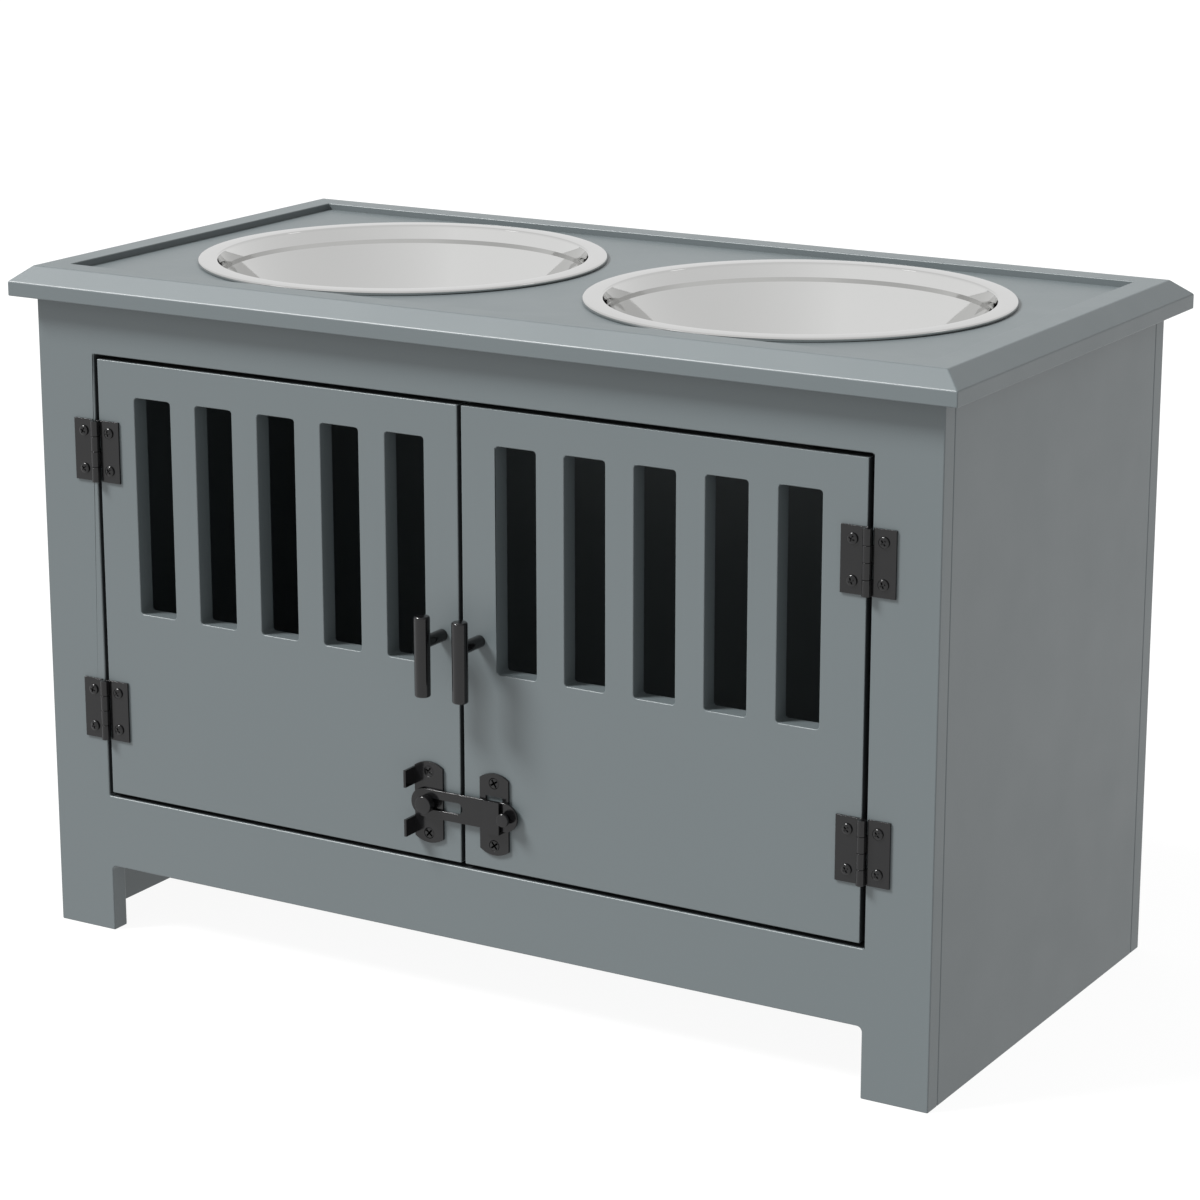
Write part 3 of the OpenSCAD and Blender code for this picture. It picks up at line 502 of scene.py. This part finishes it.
def doorTree():
    # a face with a row of holes filled between its outline and theirs, thickened, stood upright and placed
    tree, given = newTree("slottedDoor", [
        ("Width", "Float"), ("Height", "Float"), ("Thickness", "Float"), ("Slots", "Int"),
        ("Slot Width", "Float"), ("Slot Height", "Float"), ("Slot Pitch", "Float"), ("Slot Start", "Float"),
        ("Slot Top", "Float"), ("Slot Corner", "Float"), ("Turn", "Float"), ("Place", "Vector"),
        ("Finish", "Material")])
    size = addNode(tree, "ShaderNodeCombineXYZ", None, {"X": given["Width"], "Y": given["Height"]})
    middle = addNode(tree, "ShaderNodeVectorMath", {"operation": "SCALE"}, {0: size.outputs[0], "Scale": 0.5})
    outline = addNode(tree, "GeometryNodeCurvePrimitiveQuadrilateral", None, {
        "Width": given["Width"], "Height": given["Height"]})
    outline = addNode(tree, "GeometryNodeTransform", None, {
        "Geometry": outline.outputs[0], "Translation": middle.outputs[0]})
    slot = addNode(tree, "GeometryNodeCurvePrimitiveQuadrilateral", None, {
        "Width": given["Slot Width"], "Height": given["Slot Height"]})
    slot = addNode(tree, "GeometryNodeFilletCurve", {"mode": "POLY"}, {
        "Curve": slot.outputs[0], "Count": door["cornerSteps"], "Radius": given["Slot Corner"]})
    # the first slot's middle lies half a slot right of its start and half a slot below its top
    slotTop = addNode(tree, "ShaderNodeMath", {"operation": "SUBTRACT"}, {
        0: given["Height"], 1: given["Slot Top"]})
    corner = addNode(tree, "ShaderNodeCombineXYZ", None, {"X": given["Slot Start"], "Y": slotTop.outputs[0]})
    slotSize = addNode(tree, "ShaderNodeCombineXYZ", None, {
        "X": given["Slot Width"], "Y": given["Slot Height"]})
    inwards = addNode(tree, "ShaderNodeVectorMath", {"operation": "MULTIPLY"}, {
        0: slotSize.outputs[0], 1: (0.5, -0.5, 0.0)})
    first = addNode(tree, "ShaderNodeVectorMath", {"operation": "ADD"}, {
        0: corner.outputs[0], 1: inwards.outputs[0]})
    pitch = addNode(tree, "ShaderNodeCombineXYZ", None, {"X": given["Slot Pitch"]})
    row = addNode(tree, "GeometryNodeMeshLine", None, {
        "Count": given["Slots"], "Start Location": first.outputs[0], "Offset": pitch.outputs[0]})
    slots = addNode(tree, "GeometryNodeInstanceOnPoints", None, {
        "Points": row.outputs[0], "Instance": slot.outputs[0]})
    slots = addNode(tree, "GeometryNodeRealizeInstances", None, {"Geometry": slots.outputs[0]})
    both = addNode(tree, "GeometryNodeJoinGeometry")
    tree.links.new(slots.outputs[0], both.inputs[0])
    tree.links.new(outline.outputs[0], both.inputs[0])
    face = addNode(tree, "GeometryNodeFillCurve", {"mode": "TRIANGLES"}, {"Curve": both.outputs[0]})
    forward = addNode(tree, "ShaderNodeCombineXYZ", None, {"Z": 1.0})
    solid = addNode(tree, "GeometryNodeExtrudeMesh", {"mode": "FACES"}, {
        "Mesh": face.outputs[0], "Offset": forward.outputs[0], "Offset Scale": given["Thickness"],
        "Individual": False})
    back = addNode(tree, "GeometryNodeFlipFaces", None, {"Mesh": face.outputs[0]})
    shell = addNode(tree, "GeometryNodeJoinGeometry")
    tree.links.new(back.outputs[0], shell.inputs[0])
    tree.links.new(solid.outputs[0], shell.inputs[0])
    whole = addNode(tree, "GeometryNodeMergeByDistance", None, {
        "Geometry": shell.outputs[0], "Distance": door["weld"]})
    upright = addNode(tree, "GeometryNodeTransform", None, {
        "Geometry": whole.outputs[0], "Rotation": (math.pi / 2, 0.0, 0.0)})
    turn = addNode(tree, "ShaderNodeCombineXYZ", None, {"Z": given["Turn"]})
    turnedRound = addNode(tree, "GeometryNodeTransform", None, {
        "Geometry": upright.outputs[0], "Rotation": turn.outputs[0]})
    placed = addNode(tree, "GeometryNodeTransform", None, {
        "Geometry": turnedRound.outputs[0], "Translation": given["Place"]})
    real = addNode(tree, "GeometryNodeRealizeInstances", None, {"Geometry": placed.outputs[0]})
    coloured = addNode(tree, "GeometryNodeSetMaterial", None, {
        "Geometry": real.outputs[0], "Material": given["Finish"]})
    addNode(tree, "NodeGroupOutput", None, {0: coloured.outputs[0]})
    return tree


slotted = doorTree()
for side in ("left", "right"):
    low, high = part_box("door_" + side)
    # the pattern starts at the free edge, so the left door is the same board turned round
    place = (high.x, low.y, low.z) if side == "left" else (low.x, high.y, low.z)
    leaf = grow("doorBoard_" + side, slotted, {
        "Width": high.x - low.x, "Height": high.z - low.z, "Thickness": door["thickness"],
        "Slots": door["slots"], "Slot Width": door["slotWidth"], "Slot Height": door["slotHeight"],
        "Slot Pitch": door["slotPitch"], "Slot Start": door["slotStart"], "Slot Top": door["slotTop"],
        "Slot Corner": door["slotCorner"], "Turn": math.pi if side == "left" else 0.0, "Place": place,
        "Finish": satinPaint})
    joinFlat(leaf.data)
    ease(markOutline(leaf), door["edge"], door["segments"], "WEIGHT")
    finish(leaf, satinPaint, "door_" + side, "painted_board", "door_" + side)
    # painted shade on the door's own edges inside the gaps
    paintGapShade(leaf, low, high)
print("doors made")


# bowls: spun sheet with a flat rim and an upright band in the leaning wall
# depths are measured from the rim's top; each bend has a radius inside and one outside
bowl = {"rim": 0.1225, "flat": 0.0115, "lip": 0.0022, "sheet": 0.0008, "flare": 0.0021,
        "bandDepth": 0.0084, "bandHeight": 0.0027, "bandIn": 0.0001, "bandShift": 0.0001,
        "depth": 0.068, "corner": 0.0919, "turn": 0.016, "lowBend": (0.0006, 0.0004),
        "highBend": (0.0004, 0.0006), "mouthBend": (0.0013, 0.0020), "rimBend": (0.0010, 0.0004),
        "steps": 8, "around": 256}


def makeBowl(side):
    b = bowl
    low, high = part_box("bowl_" + side)
    mouth, t = b["rim"] - b["flat"], b["sheet"]
    upper = mouth - b["flare"]
    wall, bandEnd = upper - b["bandIn"], -b["bandDepth"] - b["bandHeight"]
    inside = roundCorners([
        (0, -b["depth"] + t, 0), (b["corner"], -b["depth"] + t, b["turn"]), (wall, bandEnd, b["lowBend"][0]),
        (upper, -b["bandDepth"], b["highBend"][0]), (mouth, 0, b["mouthBend"][0]),
        (b["rim"], 0, b["rimBend"][0]), (b["rim"], -b["lip"], 0)], b["steps"])
    outside = roundCorners([
        (b["rim"] - t, -b["lip"], 0), (b["rim"] - t, -t, b["rimBend"][1]), (mouth + t, -t, b["mouthBend"][1]),
        (upper + t, -b["bandDepth"] - b["bandShift"], b["highBend"][1]),
        (wall + t, bandEnd - b["bandShift"], b["lowBend"][1]),
        (b["corner"] + t, -b["depth"], b["turn"] + t), (0, -b["depth"], 0)], b["steps"])
    profile = [(point.x, point.y) for point in inside + outside]
    centre = ((low.x + high.x) / 2, (low.y + high.y) / 2, high.z)
    piece = turned("bowlSpun_" + side, profile, centre, b["around"])
    # the steel's rings and its rim need each corner's distance from the bowl's own middle
    reach = piece.data.attributes.new("fromCentre", "FLOAT", "POINT")
    reach.data.foreach_set("value", [
        math.hypot(v.co.x - centre[0], v.co.y - centre[1]) for v in piece.data.vertices])
    return piece


for side in ("left", "right"):
    finish(makeBowl(side), bowlSteel, "bowl_" + side, "stainless_steel", "bowl_" + side)
print("bowls spun")


# four kinds of screws: brim is the share of a domed head under its curve, or the edge of a countersunk head
# as steps from its radius and its top; cross is the recess's length, width and depth
pan = {"head": 0.0031, "height": 0.0015, "brim": 0.42, "shank": 0.0014, "length": 0.0095, "tip": 0.001,
       "cross": (0.0034, 0.0009, 0.0010)}
flush = {"head": 0.0033, "height": 0.0, "cone": 0.0019, "shank": 0.0014, "length": 0.0095, "tip": 0.001,
         "brim": [(-0.0004, 0.0), (-0.00015, -0.00012), (-0.00025, -0.0004)],
         "cross": (0.0046, 0.0010, 0.0011)}
battenScrew = {"head": 0.0035, "height": 0.0, "cone": 0.0018, "shank": 0.00175, "length": 0.0275,
               "tip": 0.002, "brim": [(-0.0001, 0.0), (0.0, -0.0001)], "cross": (0.0040, 0.0009, 0.0016)}
handleScrew = {"head": 0.0037, "height": 0.0022, "brim": 0.55, "shank": 0.0016, "length": 0.019,
               "tip": 0.0005, "chamfer": 0.0005, "cross": (0.0040, 0.0009, 0.0014)}
# the recess's cutter: how far it starts above the head, where its shoulder is, and its length and width at
# each level as shares of the cross's
recess = {"above": 0.0004, "shoulderAt": 0.35, "mouth": (1.25, 1.1), "shoulder": (1.0, 1.0),
          "floor": (0.45, 0.7)}
# a cross's outline: 1 is the side of an arm, and 2 its end
crossOutline = [(-1, -1), (-1, -2), (1, -2), (1, -1), (2, -1), (2, 1),
                (1, 1), (1, 2), (-1, 2), (-1, 1), (-2, 1), (-2, -1)]
screwAround = 32
domeSteps = 10
creaseAngle = math.radians(34)  # a screw's edges sharper than this shade as corners


def screwProfile(s):  # from the middle of the head's top down to the tip
    if "cone" in s:
        head = [(0, 0)] + [(s["head"] + out, up) for out, up in s["brim"]] + [(s["shank"], -s["cone"])]
    else:
        bends = [math.pi / 2 * k / domeSteps for k in range(domeSteps + 1)]
        domed = 1 - s["brim"]
        head = [(s["head"] * math.sin(a), s["height"] * (s["brim"] + domed * math.cos(a))) for a in bends]
        head += [(s["head"], 0.0), (s["shank"], 0.0)]
    end = [(s["shank"] - s["chamfer"], -s["length"])] if "chamfer" in s else []
    return head + [(s["shank"], -s["length"] + s["tip"])] + end + [(0, -s["length"])]


def makeScrew(name, s):
    # one screw with a cross recess, to be repeated on points
    body = turned(name, screwProfile(s), (0, 0, 0), screwAround)
    length, width, depth = s["cross"]
    shape = bmesh.new()

    def ring(shares, z):
        reach = {1: width / 2 * shares[1], 2: length / 2 * shares[0]}
        return [shape.verts.new((math.copysign(reach[abs(x)], x), math.copysign(reach[abs(y)], y), z))
                for x, y in crossOutline]
    rings = [ring(recess["mouth"], s["height"] + recess["above"]),
             ring(recess["shoulder"], s["height"] - depth * recess["shoulderAt"]),
             ring(recess["floor"], s["height"] - depth)]
    for a, b in zip(rings, rings[1:]):
        for k in range(len(a)):
            n = (k + 1) % len(a)
            shape.faces.new((a[k], a[n], b[n], b[k]))
    shape.faces.new(rings[0][::-1])
    shape.faces.new(rings[-1])
    bmesh.ops.recalc_face_normals(shape, faces=shape.faces)
    cutter = link(keepShape(shape, name + "Cutter"), name + "Cutter")
    cut = body.modifiers.new("recess", "BOOLEAN")
    cut.operation, cut.solver, cut.object = "DIFFERENCE", "EXACT", cutter
    settle(body)
    bpy.data.objects.remove(cutter)
    shape = bmesh.new()
    shape.from_mesh(body.data)
    for face in shape.faces:
        face.smooth = True
    for edge in shape.edges:
        edge.smooth = edge.calc_face_angle(0) < creaseAngle
    shape.to_mesh(body.data)
    shape.free()
    return body


def screwTree():
    # a screw on every point, its head along the point's facing, and its cross turned at random
    tree, given = newTree("screwsOnPoints", [
        ("Screw", "Object"), ("Turn Seed", "Int"), ("Turn Range", "Float"), ("Finish", "Material")])
    template = addNode(tree, "GeometryNodeObjectInfo", None, {"Object": given["Screw"]})
    facing = addNode(tree, "GeometryNodeInputNamedAttribute", {"data_type": "FLOAT_VECTOR"}, {
        "Name": "facing"})
    aim = addNode(tree, "FunctionNodeAlignRotationToVector", {"axis": "Z"}, {"Vector": facing.outputs[0]})
    back = addNode(tree, "ShaderNodeMath", {"operation": "MULTIPLY"}, {0: given["Turn Range"], 1: -1.0})
    spin = addNode(tree, "FunctionNodeRandomValue", {"data_type": "FLOAT"}, {
        2: back.outputs[0], 3: given["Turn Range"], "Seed": given["Turn Seed"]})
    twist = addNode(tree, "FunctionNodeAxisAngleToRotation", None, {
        "Axis": (0.0, 0.0, 1.0), "Angle": spin.outputs[1]})
    rotation = addNode(tree, "FunctionNodeRotateRotation", {"rotation_space": "LOCAL"}, {
        0: aim.outputs[0], 1: twist.outputs[0]})
    placed = addNode(tree, "GeometryNodeInstanceOnPoints", None, {
        "Points": given["Geometry"], "Instance": template.outputs["Geometry"],
        "Rotation": rotation.outputs[0]})
    real = addNode(tree, "GeometryNodeRealizeInstances", None, {"Geometry": placed.outputs[0]})
    coloured = addNode(tree, "GeometryNodeSetMaterial", None, {
        "Geometry": real.outputs[0], "Material": given["Finish"]})
    addNode(tree, "NodeGroupOutput", None, {0: coloured.outputs[0]})
    return tree


def looseParts(node):  # the corners of each solid in a CAD node
    shape = bmesh.new()
    shape.from_mesh(nodes[node].data)
    bmesh.ops.remove_doubles(shape, verts=shape.verts, dist=mergeGap)
    parts, seen = [], set()
    for start in shape.verts:
        if start in seen:
            continue
        part, todo = [], [start]
        seen.add(start)
        while todo:
            vert = todo.pop()
            part.append(vert.co.copy())
            for edge in vert.link_edges:
                other = edge.other_vert(vert)
                if other not in seen:
                    seen.add(other)
                    todo.append(other)
        parts.append(part)
    shape.free()
    return parts


def screwSites(node):
    # the seat and outward direction of every screw in a CAD node: a screw is long, and its head is the
    # wide end
    sites = []
    for part in looseParts(node):
        low = Vector([min(v[i] for v in part) for i in range(3)])
        high = Vector([max(v[i] for v in part) for i in range(3)])
        size, middle = high - low, (low + high) / 2
        axis = max(range(3), key=lambda i: size[i])
        across = Vector([i != axis for i in range(3)])

        def spread(end):  # how far the quarter at that end reaches from the screw's own axis
            return max(((v - middle) * across).length for v in part if abs(v[axis] - end) < size[axis] / 4)
        outward = 1 if spread(high[axis]) > spread(low[axis]) else -1
        tip = middle.copy()
        tip[axis] = (high if outward > 0 else low)[axis]
        sites.append((tip, Vector([outward if i == axis else 0 for i in range(3)])))
    return sites


screwOnPoints = screwTree()
turnSeeds = iter(range(11, 40))
turnRange = 1.2  # a cross is turned by up to this many radians either way


def drive(template, s, material, body, slot, name, nodeList):
    # puts a screw at every place where the CAD nodes have one, its head's top level with theirs
    sites = [site for node in nodeList for site in screwSites(node)]
    mesh = bpy.data.meshes.new(name)
    mesh.from_pydata([tip - facing * s["height"] for tip, facing in sites], [], [])
    aims = mesh.attributes.new("facing", "FLOAT_VECTOR", "POINT")
    aims.data.foreach_set("vector", [c for _, facing in sites for c in facing])
    piece = grow(name, screwOnPoints, {
        "Screw": template, "Turn Seed": next(turnSeeds), "Turn Range": turnRange, "Finish": material}, mesh)
    finish(piece, material, body, slot, *nodeList)


panScrew = makeScrew("panScrew", pan)
flushScrew = makeScrew("flushScrew", flush)
longScrew = makeScrew("longScrew", battenScrew)
boltScrew = makeScrew("boltScrew", handleScrew)

drive(panScrew, pan, blackSteel, "cabinet", "black_hardware", "hingeScrewsCabinet", ["hinge_frame_screws"])
drive(panScrew, pan, blackSteel, "door_left", "black_hardware", "hingeScrewsDoorLeft",
      ["hinge_door_screws_left"])
drive(panScrew, pan, blackSteel, "door_right", "black_hardware", "hingeScrewsDoorRight",
      ["hinge_door_screws_right"])
drive(flushScrew, flush, blackSteel, "door_left", "black_hardware", "latchScrewsLeft", ["latch_base_screws"])
drive(flushScrew, flush, blackSteel, "door_right", "black_hardware", "latchScrewsRight",
      ["latch_keeper_screws"])
drive(longScrew, battenScrew, zincSteel, "cabinet", "zinc_screws", "battenScrews",
      ["floor_cleat_screws", "top_cleat_screws"])
drive(boltScrew, handleScrew, zincSteel, "door_left", "zinc_screws", "handleScrewLeft", ["handle_screw_left"])
drive(boltScrew, handleScrew, zincSteel, "door_right", "zinc_screws", "handleScrewRight",
      ["handle_screw_right"])
for template in (panScrew, flushScrew, longScrew, boltScrew):
    bpy.data.objects.remove(template)
print("screws driven")


# hinges, latch plates and latch bar: stamped sheet with softened edges
stamped = {"hingeEdge": 0.00028, "latchEdge": 0.0003, "segments": 2}


def stamp(node, edge, body):
    leaf = ease(copySolid(node, node + "Stamped"), edge, stamped["segments"])
    finish(leaf, blackSteel, body, "black_hardware", node)


for side in ("left", "right"):
    for height in ("upper", "lower"):
        for part, body in (("frame", "cabinet"), ("door", "door_" + side)):
            node = "hinge_%s_leaf_%s_%s" % (part, side, height)
            stamp(node, stamped["hingeEdge"], body)
stamp("latch_base_plate", stamped["latchEdge"], "door_left")
stamp("latch_keeper_plate", stamped["latchEdge"], "door_right")
stamp("latch_bar", stamped["latchEdge"], "latch_bar")
print("sheet metal stamped")


# handles and knobs: turned rod, with the roundings of its ends
handle = {"end": 0.0012, "postEnd": 0.0001, "around": 56, "steps": 4}
knob = {"end": 0.0006, "under": 0.0003, "around": 56, "sheet": 0.0015, "rivet": 0.0017, "pivot": 0.0019,
        "shank": 0.0024, "neck": 0.0024, "barGap": 0.0003, "headLength": 0.0024}


def turnRod(name, corners, place, axis, around):  # corners are (radius, distance along, rounding)
    return turned(name, [(q.x, q.y) for q in roundCorners(corners, handle["steps"])], place, around, axis)


def frontRod(node):  # the place on the board, the radius and the length of a rod that stands out to the front
    low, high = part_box(node)
    return ((low.x + high.x) / 2, high.y, (low.z + high.z) / 2), (high.x - low.x) / 2, high.y - low.y


for side in ("left", "right"):
    low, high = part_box("handle_bar_" + side)
    r, half = (high.x - low.x) / 2, (high.z - low.z) / 2
    rod = turnRod("handleBar_" + side, [(0, -half, 0), (r, -half, handle["end"]), (r, half, handle["end"]),
                                        (0, half, 0)], (low + high) / 2, "Z", handle["around"])
    finish(rod, blackSteel, "door_" + side, "black_hardware", "handle_bar_" + side)
    place, r, reach = frontRod("handle_post_" + side)
    rod = turnRod("handlePost_" + side, [(0, 0, 0), (r, 0, handle["postEnd"]), (r, reach, handle["postEnd"]),
                                         (0, reach, 0)], place, "-Y", handle["around"])
    finish(rod, blackSteel, "door_" + side, "black_hardware", "handle_post_" + side)


def makeKnob(node, name, tail, tailLength, neck, headLength):
    # a thin tail through the sheet, a neck, and the head in front
    place, r, reach = frontRod(node)
    corners = [(0, 0, 0), (tail, 0, 0), (tail, tailLength, 0), (neck, tailLength, 0),
               (neck, reach - headLength, 0), (r, reach - headLength, knob["under"]),
               (r, reach, knob["end"]), (0, reach, 0)]
    return turnRod(name, corners, place, "-Y", knob["around"])


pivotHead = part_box("latch_bar")[0].y - knob["barGap"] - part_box("latch_pivot_pin")[0].y
finish(makeKnob("latch_pivot_pin", "latchPivot", knob["pivot"], knob["sheet"], knob["shank"], pivotHead),
       blackSteel, "door_left", "black_hardware", "latch_pivot_pin")
finish(makeKnob("latch_bar_knob", "latchBarKnob", knob["rivet"], knob["sheet"], knob["neck"],
                knob["headLength"]), blackSteel, "latch_bar", "black_hardware", "latch_bar_knob")
print("handles and knobs turned")


def makeStage():
    half = 30.0  # metres: wide enough to fill every view
    mesh = bpy.data.meshes.new("studioFloor")
    corners = [(-half, -half, 0), (half, -half, 0), (half, half, 0), (-half, half, 0)]
    mesh.from_pydata(corners, [], [(0, 1, 2, 3)])
    floor = link(mesh, "studioFloor")
    mesh.materials.append(makeLightTable())


# a white room: its brightness all round, and how much darker the right wall is
sky = {"walls": 0.92, "rightWall": 0.18}


def makeSky(tree):
    tree.nodes.clear()
    way = addNode(tree, "ShaderNodeTexCoord").outputs["Generated"]
    part = addNode(tree, "ShaderNodeSeparateXYZ", None, {0: way})
    right = addNode(tree, "ShaderNodeMath", {"operation": "MAXIMUM"}, {0: part.outputs["X"], 1: 0.0})
    shade = addNode(tree, "ShaderNodeMath", {"operation": "MULTIPLY_ADD"}, {
        0: right.outputs[0], 1: -sky["rightWall"], 2: sky["walls"]})
    background = addNode(tree, "ShaderNodeBackground", None, {
        "Color": (1.0, 1.0, 1.0, 1.0), "Strength": shade.outputs[0]})
    addNode(tree, "ShaderNodeOutputWorld", None, {"Surface": background.outputs[0]})


keyLight = {"towards": (-0.53, -0.44, 0.727), "strength": 6.0, "softness": 17}
# two small lamps that only show as glints in the steel
glints = {"strength": 0.025, "softness": 9, "towards": [(-0.62, -0.55, 0.56), (0.74, 0.36, 0.57)]}
# from the photograph's own side, looking down a little
view = {"lens": 107.45, "sensor": 36.0, "clipEnd": 200.0, "pitch": 15.236, "yaw": 30.74,
        "place": (1.0540, -1.7603, 0.7706)}

makeStage()
world = bpy.data.worlds.new("softStudio")
bpy.context.scene.world = world
world.use_nodes = True
makeSky(world.node_tree)


def hangSun(name, towards, strength, softness):
    sun = bpy.data.lights.new(name, "SUN")
    sun.energy, sun.angle = strength, math.radians(softness)
    lamp = bpy.data.objects.new(name, sun)
    bpy.context.scene.collection.objects.link(lamp)
    lamp.rotation_euler = Vector(towards).to_track_quat("Z", "Y").to_euler()
    return lamp


lamp = hangSun("keyLight", keyLight["towards"], keyLight["strength"], keyLight["softness"])
# the key light leaves the bowls out, so that the steel shows only the white room and the glints
bright = bpy.data.collections.new("polishedSteel")
for side in ("left", "right"):
    bright.objects.link(bpy.data.objects["bowlSpun_" + side])
for member in bright.collection_objects:
    member.light_linking.link_state = "EXCLUDE"
lamp.light_linking.receiver_collection = bright
for count, towards in enumerate(glints["towards"]):
    hangSun("glint%d" % count, towards, glints["strength"], glints["softness"])

camera = bpy.data.cameras.new("productCamera")
camera.lens, camera.sensor_width, camera.clip_end = view["lens"], view["sensor"], view["clipEnd"]
cameraObject = bpy.data.objects.new("productCamera", camera)
bpy.context.scene.collection.objects.link(cameraObject)
cameraObject.location = view["place"]
cameraObject.rotation_euler = (math.radians(90 - view["pitch"]), 0, math.radians(view["yaw"]))
bpy.context.scene.camera = cameraObject
bpy.context.scene.view_settings.view_transform = "Standard"
print("stage set")
